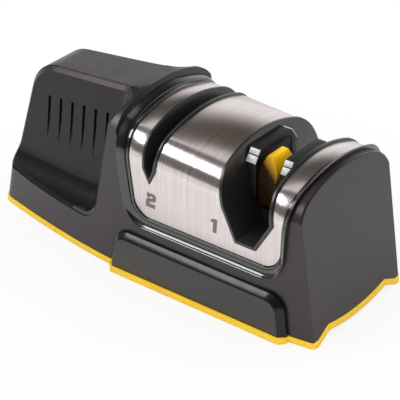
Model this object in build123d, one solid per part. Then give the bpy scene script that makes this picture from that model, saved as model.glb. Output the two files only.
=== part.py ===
from build123d import *
from math import atan2, cos, radians, sin, sqrt, tan
import os

# Manual knife sharpener with two pull-through slots, millimetres and degrees.
# +X points to the sharpening end, -Y to the front, +Z up. The origin is on the ground under the middle.

# Foot print of the housing, the same at the front and the back
length = 186.0
widest_half_depth = 35.6
foot_outline_shares = (
    (-0.53, 0.55),
    (-0.28, 0.84),
    (-0.08, 0.975),
    (0.16, 1.0),
    (0.41, 0.985),
    (0.53, 0.9),
)
wall_draft = 1.26
left_lean = 12.2
right_lean = 8.65
left_corner_radius = 7.0
right_edge_radius = 1.0
housing_wall = 2.4

# Side view of the grip, whose top line climbs to the neck, which dips a little, and swoops up to the crest
crest_x = -11.0
crest_top = 80.0
neck_x = -31.0
neck_dip = 0.3
grip_end_drop = 7.0
grip_corner_radius = 17.0
swoop_radius = 150.0
grip_end_top = crest_top - grip_end_drop

# Finger recess on both sides of the grip
shelf_height = 20.0
shelf_inset = 4.6
shelf_half_depth = widest_half_depth - shelf_inset
recess_floor_height = 32.0
recess_wall_inset = 17.25
recess_wall_half_depth = widest_half_depth - recess_wall_inset
recess_top_inset = 22.1
recess_top_half_depth = widest_half_depth - recess_top_inset
recess_x = -48.0
recess_slant = 3.0
recess_end_x = -20.0
recess_end_lean = 11.3
recess_corner_radius = 7.5
grip_slot_count = 6
grip_slot_pitch = 7.1
grip_slot_width = 1.6
grip_slot_depth = 2.0
grip_slot_low = 38.5
grip_slot_drop = 14.2
grip_slot_last_x = -31.7

# Brushed steel cover over the middle: an arch that comes down towards the right
cover_inset = 1.3
cover_half_depth = widest_half_depth - cover_inset
cover_drop = 7.3
cover_top = crest_top - cover_drop
cover_middle_x = 33.0
cover_fall = 3.15
cover_shoulder = 15.4
cover_crown = 70.0
cover_sheet = 0.8
cover_gauge_drop = 12.7
cover_gauge_height = cover_top - cover_gauge_drop
cover_left_x = -4.6
cover_left_lean = -8.2
cover_right_foot_x = 85.4
cover_right_x = cover_right_foot_x - cover_gauge_height * tan(radians(right_lean))
cover_right_lean = 2.3
cover_bottom = 32.2
cover_corner_radius = 9.0

# Glossy bezel round the steel cover
bezel_proud = 0.7
bezel_half_depth = widest_half_depth + bezel_proud
bezel_left_width = 6.0
bezel_bottom_width = 5.4
bezel_right_width = 2.6
bezel_right_rise = 2.1
bezel_shoulder = 17.0
bezel_corner_radius = 13.0
bezel_bead = 1.2
bezel_lip = 1.3

# Slot 1, for sharpening: heights, places and leans of its edges in front view
slot_1_left_x = 43.2
slot_1_left_lean = -16.2
slot_1_right_x = 70.0
slot_1_right_lean = -10.8
slot_1_shoulder = 52.2
slot_1_floor = 37.8
slot_1_floor_left_x = 52.6
slot_1_floor_right_x = 63.1

# Slot 2, for honing
slot_2_left_x = 2.7
slot_2_left_lean = -8.25
slot_2_right_x = 10.4
slot_2_right_lean = 1.7
slot_2_shoulder = 56.2
slot_2_tip_x = 6.9
slot_2_tip = 49.2

# Slot liners
liner_wall = 1.3
liner_rim = 0.6
fit_gap = 0.1

# Sharpening cartridge in slot 1: two jaws on a base that reaches down to the tray
channel_x = 54.75
channel_width = 12.5
channel_floor = 45.0
jaw_half_length = 15.0
jaw_top_half_length = 11.0
jaw_drop = 2.3
jaw_chamfer = 5.8
jaw_top = cover_top - jaw_drop
cartridge_base_width = 19.0
cartridge_base_low = 18.0
leg_radius = 3.3
leg_x = 6.0
leg_y = 9.5

# Diamond pads on the jaw corners and diamond plates on the channel walls
pad_thickness = 0.6
pad_upper_length = 2.5
pad_lower_length = 3.3
pad_gap = 0.5
left_pad_width = 4.9
right_pad_width = 4.1
pad_side_gap = 0.15
plate_thickness = 1.0
plate_recess = 1.2
plate_half_length = 10.5
plate_low = 47.0
plate_drop = 3.0

# Rocking blade guide between the jaws
guide_drop = 2.5
guide_top = cover_top - guide_drop
guide_top_width = 3.0
guide_width = 9.2
guide_low = 47.0
guide_shoulder_share = 0.72
guide_front_y = -13.4
guide_nose_y = -15.4
guide_nose_share = 0.56
guide_back_y = -2.9
guide_heel_y = 0.6
guide_heel_share = 0.603
stem_width = 6.0
stem_front_y = -12.0
stem_back_y = -1.0
stem_low = 21.5
pivot_y = -6.0
pivot_height = 26.0
pivot_radius = 1.5
running_gap = 0.05
well_side_gap = 0.3
well_front_gap = 0.9
well_back_gap = 2.6
spring_height = 36.0
spring_radius = 2.2
spring_wire = 0.6
spring_length = 7.4
spring_seat_gap = 0.3

# Ceramic hone under slot 2
hone_lean = 20.0
hone_rod_radius = 2.0
hone_rod_length = 33.0
hone_cross_height = 48.0
hone_rod_top = 57.0
hone_rod_y = 3.2
hone_block_width = 24.0
hone_block_half_length = 8.0
hone_block_low = 22.0
hone_block_high = 44.0
hone_window_top = 59.0
hone_leg_x = 8.0

# Base tray, feet and the raised edge at the right end
ground_gap = 0.3
tray_top = 3.1
tray_edge = 0.4
tray_step_edge = 0.8
tray_corner_radius = 2.0
tray_boss_height = 2.0
end_foot_inset = 6.2
end_foot_half_depth = widest_half_depth - end_foot_inset
end_rise_inset = 14.1
end_rise_half_depth = widest_half_depth - end_rise_inset
end_edge_radius = 2.5
end_rise = 3.8
end_middle_rise = 1.6
end_edge_length = 6.0
end_riser = 1.5
foot_length = 16.0
foot_width = 9.0
foot_corner_radius = 3.0
foot_thickness = 1.6
foot_x_shares = (-0.38, 0.38)
foot_y_shares = (0.42, 0.72)

# Plates on the front and rear walls, left bare
nameplate_left_x = -14.2
nameplate_right_x = 81.0
nameplate_top = 21.8
nameplate_proud = 3.2
nameplate_face = widest_half_depth + nameplate_proud
nameplate_side_lean = 7.0
nameplate_corner_radius = 9.0
nameplate_chamfer = 2.6

# Screws from below
screw_radius = 1.3
screw_head_radius = 2.6
screw_head_height = 1.3
screw_sink = 0.2
screw_depth = 9.0
screw_cross_length = 3.0
screw_cross_width = 0.7
screw_cross_depth = 0.6
boss_radius = 4.0
boss_places_shares = ((-0.37, 0.0), (-0.1, 0.0), (0.43, 0.5), (0.43, -0.5))

end_edge_x = length / 2 - end_edge_length
overrun = 8.0
ceiling = 100.0


def lean_x(x, height, lean):
    """Place along X of an edge that leans, at a height, from its place at the gauge height."""
    return x + (height - cover_gauge_height) * tan(radians(lean))


def arch(x, half, top, shoulder, crown):
    """Arch shaped face across the object: straight sides, round shoulders and a flat crown."""
    shoulder_y = half - shoulder
    crown_z = top - crown
    shoulder_z = crown_z + sqrt((crown - shoulder) ** 2 - shoulder_y ** 2)
    turn = atan2(shoulder_z - crown_z, shoulder_y)
    join = (crown * cos(turn), crown_z + crown * sin(turn))
    middle = (shoulder_y + shoulder * cos(turn / 2), shoulder_z + shoulder * sin(turn / 2))
    edges = [
        Line((-half, 0.0), (half, 0.0)),
        Line((half, 0.0), (half, shoulder_z)),
        ThreePointArc((half, shoulder_z), middle, join),
        ThreePointArc(join, (0, top), (-join[0], join[1])),
        ThreePointArc((-join[0], join[1]), (-middle[0], middle[1]), (-half, shoulder_z)),
        Line((-half, shoulder_z), (-half, 0.0)),
    ]
    return Plane.YZ.offset(x) * make_face(edges)


def cover_height(x):
    """Height of the steel cover's crown at a place along X."""
    return cover_top - (x - cover_middle_x) * tan(radians(cover_fall))


def cover_body(inset):
    """Solid under the steel cover's outer face, drawn in by an inset all round."""
    half = cover_half_depth - inset
    faces = []
    for x in (crest_x - overrun, length / 2 + overrun):
        faces.append(arch(x, half, cover_height(x) - inset, cover_shoulder - inset, cover_crown - inset))
    return loft(faces, ruled=True)


def side_prism(face):
    """Front view outline run through the whole depth."""
    return extrude(Plane.XZ * face, amount=ceiling, both=True)


def rounded(face, corners, radius):
    """Front view outline with some of its corners rounded, the lowest ones first."""
    return fillet(face.vertices().sort_by(Axis.Y)[:corners], radius)


def wall_body(inset):
    """Boat shaped side walls with their draft, drawn past both ends."""
    faces = []
    for height in (0.0, ceiling):
        drawn_in = inset + height * tan(radians(wall_draft))
        points = [
            (x_share * length, depth_share * widest_half_depth - drawn_in)
            for x_share, depth_share in foot_outline_shares
        ]
        mirrored = [(x, -y) for x, y in points]
        edges = [
            Spline(*points),
            Line(points[-1], mirrored[-1]),
            Spline(*mirrored),
            Line(mirrored[0], points[0]),
        ]
        faces.append(Plane.XY.offset(height) * make_face(edges))
    return loft(faces, ruled=True)


def left_end(height, inset):
    """Place of the leaning left end at a height."""
    return -length / 2 + inset / cos(radians(left_lean)) + height * tan(radians(left_lean))


def right_end(height, inset):
    """Place of the leaning right end at a height."""
    return length / 2 - inset / cos(radians(right_lean)) - height * tan(radians(right_lean))


def neck_top():
    """Height of the neck, just under the line from the grip's left end to the crest."""
    start = left_end(grip_end_top, 0.0)
    return grip_end_top + grip_end_drop * (neck_x - start) / (crest_x - start) - neck_dip


def grip_top(x):
    """Height of the grip's top line at a place along X, between its left end and the neck."""
    start = left_end(grip_end_top, 0.0)
    return grip_end_top + (x - start) * (neck_top() - grip_end_top) / (neck_x - start)


def ends_body(inset):
    """Side view between the leaning ends, under the grip's top line and the swoop up to the crest."""
    top_left = (left_end(grip_end_top - inset, inset), grip_end_top - inset)
    neck = (neck_x, neck_top() - inset)
    crest = (crest_x + inset, crest_top - inset)
    outline = Polyline(
        (left_end(0.0, inset), 0.0),
        top_left,
        neck,
        crest,
        (crest[0], ceiling),
        (right_end(ceiling, inset), ceiling),
        (right_end(0.0, inset), 0.0),
        close=True,
    )
    face = make_face(outline)
    corner = face.vertices().sort_by_distance(top_left)[0]
    face = fillet(corner, grip_corner_radius - inset)
    swoop = face.vertices().sort_by_distance(neck)[0]
    face = fillet(swoop, swoop_radius)
    return side_prism(face)


def slot_1_outline(inset):
    """Front view of slot 1, drawn in by an inset."""
    points = [
        (slot_1_floor_left_x, slot_1_floor),
        (slot_1_floor_right_x, slot_1_floor),
        (lean_x(slot_1_right_x, slot_1_shoulder, slot_1_right_lean), slot_1_shoulder),
        (lean_x(slot_1_right_x, ceiling, slot_1_right_lean), ceiling),
        (lean_x(slot_1_left_x, ceiling, slot_1_left_lean), ceiling),
        (lean_x(slot_1_left_x, slot_1_shoulder, slot_1_left_lean), slot_1_shoulder),
    ]
    face = make_face(Polyline(*points, close=True))
    return offset(face, -inset, kind=Kind.INTERSECTION) if inset else face


def slot_2_outline(inset):
    """Front view of slot 2, drawn in by an inset."""
    points = [
        (slot_2_tip_x, slot_2_tip),
        (lean_x(slot_2_right_x, slot_2_shoulder, slot_2_right_lean), slot_2_shoulder),
        (lean_x(slot_2_right_x, ceiling, slot_2_right_lean), ceiling),
        (lean_x(slot_2_left_x, ceiling, slot_2_left_lean), ceiling),
        (lean_x(slot_2_left_x, slot_2_shoulder, slot_2_left_lean), slot_2_shoulder),
    ]
    face = make_face(Polyline(*points, close=True))
    return offset(face, -inset, kind=Kind.INTERSECTION) if inset else face


def cover_outline(left, bottom, right, radius):
    """Front view of the cover's window, grown to the left, down and to the right."""
    low = cover_bottom - bottom
    points = [
        (lean_x(cover_left_x, low, cover_left_lean) - left, low),
        (lean_x(cover_right_x, low, cover_right_lean) + right, low),
        (lean_x(cover_right_x, ceiling, cover_right_lean) + right, ceiling),
        (lean_x(cover_left_x, ceiling, cover_left_lean) - left, ceiling),
    ]
    return rounded(make_face(Polyline(*points, close=True)), 2, radius)


def bezel_outline(grow):
    """Front view of the bezel's outer edge."""
    widths = [bezel_left_width + grow, bezel_bottom_width + grow, bezel_right_width + grow]
    return cover_outline(*widths, bezel_corner_radius + grow)


def box(low, high):
    """Block between two corners."""
    size = [b - a for a, b in zip(low, high)]
    return Pos(*low) * Box(*size, align=(Align.MIN, Align.MIN, Align.MIN))


def rod(radius, low, high, x, y):
    """Upright round bar."""
    return Pos(x, y, low) * Cylinder(radius, high - low, align=(Align.CENTER, Align.CENTER, Align.MIN))


def recess_depth(height):
    """Half depth of the recess wall at its gauge place, which leans in towards the top."""
    lean = (recess_wall_half_depth - recess_top_half_depth) / (grip_end_top - recess_floor_height)
    return recess_wall_half_depth - (height - recess_floor_height) * lean


def recess_shift(x):
    """How far the slanted recess has moved outwards at a place along X."""
    return (x - recess_x) * tan(radians(recess_slant))


def recess(grow):
    """Finger recess of the front side: a shelf that curves up into a wall, with a rounded right end."""
    start_x = -length / 2 - overrun
    shift = recess_shift(start_x) - grow
    far = widest_half_depth + overrun - shift
    low = shelf_height - grow
    foot = (-recess_depth(recess_floor_height) - shift, recess_floor_height)
    head = (-recess_depth(ceiling) - shift, ceiling)
    shelf = (-shelf_half_depth - shift, low)
    edges = [
        Line((-far, low), shelf),
        TangentArc(foot, shelf, tangent=(foot[0] - head[0], foot[1] - head[1])),
        Line(foot, head),
        Line(head, (-far, ceiling)),
        Line((-far, ceiling), (-far, low)),
    ]
    profile = Plane.YZ.offset(start_x) * make_face(edges)
    slant = radians(recess_slant)
    run = extrude(profile, amount=length, dir=(cos(slant), -sin(slant), 0))
    outline = Polyline(
        (start_x - overrun, 0.0),
        (lean_x(recess_end_x, 0.0, recess_end_lean) + grow, 0.0),
        (lean_x(recess_end_x, ceiling, recess_end_lean) + grow, ceiling),
        (start_x - overrun, ceiling),
        close=True,
    )
    cut = run & side_prism(make_face(outline))
    end = cut.faces().sort_by(Axis.X)[-1]
    shelf_y = grow - shelf_half_depth - recess_shift(recess_end_x)
    inner = [e for e in end.edges() if e.center().Y > shelf_y and e.center().Z < ceiling - overrun]
    return fillet(inner, recess_corner_radius)


def grip_slots():
    """Narrow upright grooves in the wall of the front recess, shallower towards their lower ends."""
    tools = []
    for i in range(grip_slot_count):
        x = grip_slot_last_x - i * grip_slot_pitch
        out = -recess_shift(x)
        high = grip_top(x) - grip_slot_drop
        points = [
            (out - recess_depth(grip_slot_low), grip_slot_low),
            (out - recess_depth(high) + grip_slot_depth, high),
            (out - widest_half_depth, high),
            (out - widest_half_depth, grip_slot_low),
        ]
        face = Plane.YZ.offset(x) * make_face(Polyline(*points, close=True))
        tools.append(extrude(face, amount=grip_slot_width / 2, both=True))
    return tools


def end_edge(raise_by, start):
    """Space under the curved lower edge of the right end, between its two corner feet."""
    rise = (end_rise_half_depth, end_rise + raise_by)
    step = (end_foot_half_depth, raise_by + ground_gap)
    far = (widest_half_depth + overrun, raise_by + ground_gap)
    edges = [
        Line((-far[0], -overrun), (-far[0], far[1])),
        Line((-far[0], far[1]), (-step[0], step[1])),
        Line((-step[0], step[1]), (-rise[0], rise[1])),
        ThreePointArc((-rise[0], rise[1]), (0, end_middle_rise + raise_by), rise),
        Line(rise, step),
        Line(step, far),
        Line(far, (far[0], -overrun)),
        Line((far[0], -overrun), (-far[0], -overrun)),
    ]
    face = make_face(edges)
    corners = face.vertices().filter_by(lambda v: v.Y > 0 and abs(v.X) < far[0])
    face = fillet(corners, end_edge_radius)
    return extrude(Plane.YZ.offset(start) * face, amount=length / 2 + overrun - start)


def screw_places():
    """Places of the screws: four for the housing, two for the cartridge and two for the hone."""
    housing = [(x * length, y * widest_half_depth) for x, y in boss_places_shares]
    cartridge = [(channel_x + side * leg_x, side * leg_y) for side in (-1, 1)]
    hone = [(slot_2_tip_x + side * hone_leg_x, 0.0) for side in (-1, 1)]
    return housing, cartridge, hone


def post(place, radius, high):
    """Round post on a tray boss, bored for its screw."""
    low = tray_top + tray_boss_height
    bore = rod(screw_radius + fit_gap, low, low + screw_depth, *place)
    return rod(radius, low, high, *place) - bore


def main_housing():
    """Hollow housing: grip, middle under the cover and right end in one shell."""
    shell = wall_body(0.0) & ends_body(0.0)
    grip_start = arch(-length, bezel_half_depth, crest_top, bezel_shoulder, cover_crown)
    grip = extrude(grip_start, amount=length + cover_middle_x)
    end = cover_body(0.0) & box((cover_middle_x, -ceiling, 0.0), (length, ceiling, ceiling))
    foot = box((-length, -ceiling, 0.0), (length, ceiling, cover_bottom))
    form = shell & (grip + end + foot) - side_prism(bezel_outline(fit_gap))
    form = form + (shell & cover_body(cover_sheet + fit_gap))
    left = form.faces().sort_by(Axis.X)[0]
    form = fillet([e for e in left.edges() if abs(e.center().Y) > left_corner_radius], left_corner_radius)
    right = form.faces().sort_by(Axis.X)[-1]
    form = fillet([e for e in right.edges() if e.center().Z > right_edge_radius], right_edge_radius)

    hollow_shell = wall_body(housing_wall) & ends_body(housing_wall)
    inner_grip = arch(
        -length,
        bezel_half_depth - housing_wall,
        crest_top - housing_wall,
        bezel_shoulder - housing_wall,
        cover_crown - housing_wall,
    )
    inner_edge = lean_x(cover_left_x, crest_top, cover_left_lean) - bezel_left_width - housing_wall
    hollow = extrude(inner_grip, amount=length + inner_edge)
    hollow = hollow + cover_body(cover_sheet + fit_gap + housing_wall)
    hollow = (hollow_shell & hollow) - recess(housing_wall) - mirror(recess(housing_wall), Plane.XZ)
    front = recess(0.0)
    scooped = form - front - mirror(front, Plane.XZ)
    cuts = []
    for slot in grip_slots():
        cuts += [slot, mirror(slot, Plane.XZ)]
    cuts += [side_prism(slot_1_outline(-fit_gap)), side_prism(slot_2_outline(-fit_gap))]
    cuts.append(box((-length, -ceiling, -overrun), (length, ceiling, tray_top)))
    cuts.append(end_edge(tray_top - ground_gap, end_edge_x - end_riser - fit_gap))
    body = scooped - hollow
    for place in screw_places()[0]:
        body = body + (rod(boss_radius, 0.0, ceiling, *place) & scooped)
    bottom = tray_top + tray_boss_height
    for place in screw_places()[0]:
        cuts.append(rod(boss_radius + fit_gap, 0.0, bottom, *place))
        cuts.append(rod(screw_radius + fit_gap, bottom, bottom + screw_depth, *place))
    return body - cuts


def bezel_body():
    """Solid under the bezel's outer face, highest at the crest on its left."""
    right_top = cover_height(cover_right_x) + bezel_right_rise
    fall = (crest_top - right_top) / (cover_right_x - crest_x)
    start = arch(crest_x - overrun, bezel_half_depth, crest_top + overrun * fall, bezel_shoulder, cover_crown)
    return extrude(start, amount=length, dir=(1, 0, -fall))


def cover_bezel():
    """Glossy frame round the steel cover, rounded along its outer edge and its window."""
    pad = bezel_body() & side_prism(bezel_outline(0.0))
    middle = (cover_left_x + cover_right_x) / 2
    outer = [
        e
        for e in pad.edges()
        if abs((e % 0).Y) < cos(radians(wall_draft))
        and (e.center().Z < cover_bottom or abs(e.center().X - middle) > middle)
    ]
    window = side_prism(cover_outline(0.0, 0.0, 0.0, cover_corner_radius))
    ring = fillet(outer, bezel_bead) - window
    inner = [
        e
        for e in ring.edges()
        if abs((e % 0.5).Y) < cos(radians(wall_draft)) and window.distance_to(e @ 0.5) < fit_gap
    ]
    return fillet(inner, bezel_lip) - cover_body(cover_sheet)


def steel_cover():
    """Brushed steel sheet bent over the middle, with the two slots cut out of it."""
    window = side_prism(cover_outline(-fit_gap, -fit_gap, -fit_gap, cover_corner_radius))
    sheet = (cover_body(0.0) - cover_body(cover_sheet)) & window
    return sheet - [side_prism(slot_1_outline(0.0)), side_prism(slot_2_outline(0.0))]


def liner(outline):
    """Trough that lines a slot, with a rim a little proud of the steel."""
    trough = cover_body(-liner_rim) & side_prism(outline(fit_gap))
    return trough - side_prism(outline(fit_gap + liner_wall))


def slot_1_liner():
    """Liner of the sharpening slot, open in its middle for the cartridge."""
    half = cartridge_base_width / 2 + fit_gap
    reach = jaw_half_length + fit_gap
    top = slot_1_shoulder + fit_gap
    return liner(slot_1_outline) - box((channel_x - half, -reach, 0.0), (channel_x + half, reach, top))


def slot_2_liner():
    """Liner of the honing slot, open in its middle for the ceramic rods."""
    half = hone_block_width / 2
    reach = hone_block_half_length + fit_gap
    window = box((slot_2_tip_x - half, -reach, 0.0), (slot_2_tip_x + half, reach, hone_window_top))
    return liner(slot_2_outline) - window


def jaw_profile():
    """Side view of the jaws: flat on top, cut away at the front and rear upper corners."""
    points = [
        (-jaw_half_length, 0.0),
        (jaw_half_length, 0.0),
        (jaw_half_length, jaw_top - jaw_chamfer),
        (jaw_top_half_length, jaw_top),
        (-jaw_top_half_length, jaw_top),
        (-jaw_half_length, jaw_top - jaw_chamfer),
    ]
    return extrude(Plane.YZ * make_face(Polyline(*points, close=True)), amount=length)


def channel_side(side):
    """Place along X of one wall of the blade channel."""
    return channel_x + side * channel_width / 2


def guide_well():
    """Space in the cartridge for the guide's stem, its pivot and its return spring."""
    half = stem_width / 2 + well_side_gap
    low = (channel_x - half, stem_front_y - well_front_gap, stem_low - running_gap - well_front_gap)
    high = (channel_x + half, stem_back_y + well_back_gap, channel_floor)
    pocket = spring(spring_radius + spring_seat_gap, 0.0)
    return [box(low, high), pivot_bar(running_gap), pocket]


def pivot_bar(gap):
    """Round bar along X at the guide's pivot."""
    place = Pos(channel_x, pivot_y, pivot_height) * Rot(0, 90, 0)
    return place * Cylinder(pivot_radius + gap, cartridge_base_width)


def spring(outer, inner):
    """Tube along Y behind the guide's stem."""
    start = stem_back_y + spring_seat_gap
    place = Pos(channel_x, start + spring_length / 2, spring_height) * Rot(90, 0, 0)
    tube = place * Cylinder(outer, spring_length)
    return tube - place * Cylinder(inner, spring_length) if inner else tube


def diamond_plate(side, grow):
    """Flat plate let into one wall of the channel, or its pocket when grown."""
    back = channel_side(side) + side * plate_recess
    face = back - side * (plate_thickness + grow * overrun)
    xs = sorted((back, face))
    low = (xs[0], -plate_half_length - grow, plate_low - grow)
    high = (xs[1], plate_half_length + grow, jaw_top - plate_drop + grow)
    return box(low, high)


def sharpening_cartridge():
    """Two jaws and the block that carries them, with the well for the guide."""
    half = cartridge_base_width / 2
    base = box(
        (channel_x - half, -jaw_half_length, cartridge_base_low),
        (channel_x + half, jaw_half_length, slot_1_shoulder),
    )
    jaws = side_prism(slot_1_outline(2 * fit_gap + liner_wall)) & jaw_profile()
    jaws = jaws & box((0.0, -ceiling, slot_1_shoulder), (length, ceiling, ceiling))
    body = base + jaws
    channel = box((channel_side(-1), -ceiling, channel_floor), (channel_side(1), ceiling, ceiling))
    body = body - channel - [diamond_plate(side, fit_gap) for side in (-1, 1)] - guide_well()
    for place in screw_places()[1]:
        body = body + post(place, leg_radius, cartridge_base_low)
    return body


def diamond_pads(side, end):
    """Two short diamond pads on the sloping corner of one jaw."""
    run_y = jaw_half_length - jaw_top_half_length
    slope = sqrt(run_y ** 2 + jaw_chamfer ** 2)
    width = left_pad_width if side < 0 else right_pad_width
    x = channel_side(side) + side * (pad_side_gap + width / 2)
    normal = (0, end * jaw_chamfer / slope, run_y / slope)
    place = Plane((x, end * jaw_top_half_length, jaw_top), x_dir=(1, 0, 0), z_dir=normal)
    pads = []
    start = pad_gap
    for reach in (pad_upper_length, pad_lower_length):
        block = Box(width, reach, pad_thickness, align=(Align.CENTER, Align.CENTER, Align.MIN))
        pads.append(place * Pos(0, end * (start + reach / 2), 0) * block)
        start += reach + pad_gap
    return Compound(pads)


def blade_guide():
    """Rocking guide: a roof shaped head with a sloping nose on a stem with the pivot bore."""
    tall = guide_top - guide_low
    roof = [
        (guide_top_width / 2, guide_top),
        (guide_width / 2, guide_low + guide_shoulder_share * tall),
        (guide_width / 2, guide_low),
        (stem_width / 2, guide_low),
        (stem_width / 2, stem_low),
    ]
    roof += [(-x, z) for x, z in reversed(roof)]
    section = Pos(channel_x, 0) * make_face(Polyline(*roof, close=True))
    side = [
        (guide_front_y, guide_top),
        (guide_nose_y, guide_low + guide_nose_share * tall),
        (guide_nose_y, guide_low),
        (stem_front_y, guide_low),
        (stem_front_y, stem_low),
        (stem_back_y, stem_low),
        (stem_back_y, guide_low),
        (guide_heel_y, guide_low),
        (guide_heel_y, guide_low + guide_heel_share * tall),
        (guide_back_y, guide_top),
    ]
    flank = extrude(Plane.YZ * make_face(Polyline(*side, close=True)), amount=length)
    return (side_prism(section) & flank) - pivot_bar(running_gap)


def hone_rod(side, gap):
    """Ceramic rod that leans to one side and crosses its twin."""
    lean = side * hone_lean
    middle = hone_rod_length / 2
    drop = hone_rod_top - hone_cross_height
    along = drop / cos(radians(hone_lean)) - middle
    place = Pos(slot_2_tip_x, side * hone_rod_y, hone_cross_height) * Rot(0, lean, 0)
    return place * Pos(0, 0, along) * Cylinder(hone_rod_radius + gap, hone_rod_length + 2 * gap)


def hone_holder():
    """Block under slot 2 that carries the two ceramic rods."""
    half = hone_block_width / 2
    reach = hone_block_half_length
    body = box((slot_2_tip_x - half, -reach, hone_block_low), (slot_2_tip_x + half, reach, hone_block_high))
    body = body - [hone_rod(side, running_gap) for side in (-1, 1)]
    for place in screw_places()[2]:
        body = body + post(place, leg_radius, hone_block_low)
    return body


def nameplate_outline(grow, low, high):
    """Front view of the plate on the front wall, a little narrower towards its rounded top."""
    lean = (high - low) * tan(radians(nameplate_side_lean))
    left = nameplate_left_x - grow
    right = nameplate_right_x + grow
    points = ((left, low), (right, low), (right - lean, high), (left + lean, high))
    return make_face(Polyline(*points, close=True))


def front_nameplate():
    """Bare plate on the front wall, standing on the tray, with a broad chamfer round its face."""
    face = nameplate_outline(0.0, tray_top, nameplate_top)
    face = fillet(face.vertices().sort_by(Axis.Y)[2:], nameplate_corner_radius)
    plate = extrude(Plane.XZ * face, amount=nameplate_face)
    rim = [e for e in plate.faces().sort_by(Axis.Y)[0].edges() if e.center().Z > tray_top + fit_gap]
    plate = chamfer(rim, nameplate_chamfer)
    return plate - wall_body(-fit_gap / 2)


def foot_places():
    """Places of the four rubber feet by name."""
    places = {}
    for x_name, x_share, y_share in zip(("left", "right"), foot_x_shares, foot_y_shares):
        for y_name, side in (("front", -1), ("rear", 1)):
            name = y_name + "_" + x_name + "_foot"
            places[name] = (x_share * length, side * y_share * widest_half_depth)
    return places


def rubber_foot(place, grow):
    """Rounded rubber pad under the tray, or its pocket when grown."""
    shape = RectangleRounded(foot_length + 2 * grow, foot_width + 2 * grow, foot_corner_radius + grow)
    return extrude(Pos(*place, 0.0) * shape, amount=foot_thickness + grow)


def nameplate_step(side):
    """Plan of the tray's edge under a nameplate, with the plate's chamfered ends."""
    left = nameplate_left_x - tray_edge
    right = nameplate_right_x + tray_edge
    face = nameplate_face + tray_step_edge
    points = [
        (left, 0.0),
        (left, side * (face - nameplate_chamfer)),
        (left + nameplate_chamfer, side * face),
        (right - nameplate_chamfer, side * face),
        (right, side * (face - nameplate_chamfer)),
        (right, 0.0),
    ]
    return make_face(Polyline(*points, close=True))


def tray_plan():
    """Outside of the tray's edge, with its upright corners rounded like the housing's."""
    plan = wall_body(-tray_edge) & ends_body(-tray_edge)
    plan = plan & box((-length, -ceiling, 0.0), (length, ceiling, cover_bottom))
    upright = plan.edges().filter_by(lambda e: e.bounding_box().size.Z > shelf_height).sort_by(Axis.X)
    plan = fillet(upright[2:], tray_corner_radius)
    upright = plan.edges().filter_by(lambda e: e.bounding_box().size.Z > shelf_height).sort_by(Axis.X)
    return fillet(upright[:2], left_corner_radius + tray_edge)


def base_tray():
    """Yellow tray that closes the bottom and shows as a thin edge all round."""
    thickness = tray_top - ground_gap
    plan = tray_plan()
    slab = box((-length, -ceiling, ground_gap), (length, ceiling, tray_top))
    edge = end_edge(thickness, end_edge_x - end_riser) - box(
        (-length, -ceiling, -ceiling), (length, ceiling, ground_gap)
    )
    tray = plan & (slab + edge)
    for side in (-1, 1):
        step = Plane.XY.offset(ground_gap) * nameplate_step(side)
        tray = tray + extrude(step, amount=thickness, dir=(0, 0, 1))
    tray = tray - end_edge(0.0, end_edge_x)
    places = [place for group in screw_places() for place in group]
    top = tray_top + tray_boss_height
    for place in places:
        tray = tray + rod(boss_radius, ground_gap, top, *place)
    seat = ground_gap + screw_sink + screw_head_height
    for place in places:
        tray = tray - rod(screw_head_radius + fit_gap, 0.0, seat, *place)
        tray = tray - rod(screw_radius + fit_gap, 0.0, top, *place)
    return tray - [rubber_foot(place, fit_gap) for place in foot_places().values()]


def screws(places):
    """Cross head screws in counterbored holes under the tray."""
    low = ground_gap + screw_sink
    group = []
    for place in places:
        head = rod(screw_head_radius, low, low + screw_head_height, *place)
        for turn in (0, 90):
            groove = Box(screw_cross_length, screw_cross_width, 2 * screw_cross_depth)
            head = head - Pos(*place, low) * Rot(0, 0, turn) * groove
        top = tray_top + tray_boss_height + screw_depth - fit_gap
        group.append(head + rod(screw_radius, low + screw_head_height, top, *place))
    return Compound(group)


def pieces():
    """Every piece of the sharpener by name."""
    housing_places, cartridge_places, hone_places = screw_places()
    plate = front_nameplate()
    nodes = {
        "main_housing": main_housing(),
        "base_tray": base_tray(),
        "steel_cover": steel_cover(),
        "cover_bezel": cover_bezel(),
        "slot_1_liner": slot_1_liner(),
        "slot_2_liner": slot_2_liner(),
        "sharpening_cartridge": sharpening_cartridge(),
        "blade_guide": blade_guide(),
        "guide_pivot_pin": pivot_bar(0.0),
        "guide_return_spring": spring(spring_radius, spring_radius - spring_wire),
        "hone_holder": hone_holder(),
        "front_nameplate": plate,
        "rear_nameplate": mirror(plate, Plane.XZ),
        "housing_screws": screws(housing_places),
        "cartridge_screws": screws(cartridge_places),
        "hone_screws": screws(hone_places),
    }
    for side_name, side in (("left", -1), ("right", 1)):
        nodes[side_name + "_diamond_plate"] = diamond_plate(side, 0.0)
        nodes[side_name + "_hone_rod"] = hone_rod(side, 0.0)
        for end_name, end in (("front", -1), ("rear", 1)):
            nodes[side_name + "_" + end_name + "_diamond_pads"] = diamond_pads(side, end)
    for name, place in foot_places().items():
        nodes[name] = rubber_foot(place, 0.0)
    return nodes


if __name__ == "__main__":
    os.makedirs("parts", exist_ok=True)
    for name, shape in pieces().items():
        export_step(shape, "parts/" + name + ".step")
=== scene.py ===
import math
from contextlib import contextmanager

import bmesh
import bpy
from bpy.props import FloatProperty, FloatVectorProperty, IntProperty, PointerProperty
from mathutils import Matrix, Vector, kdtree


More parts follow.
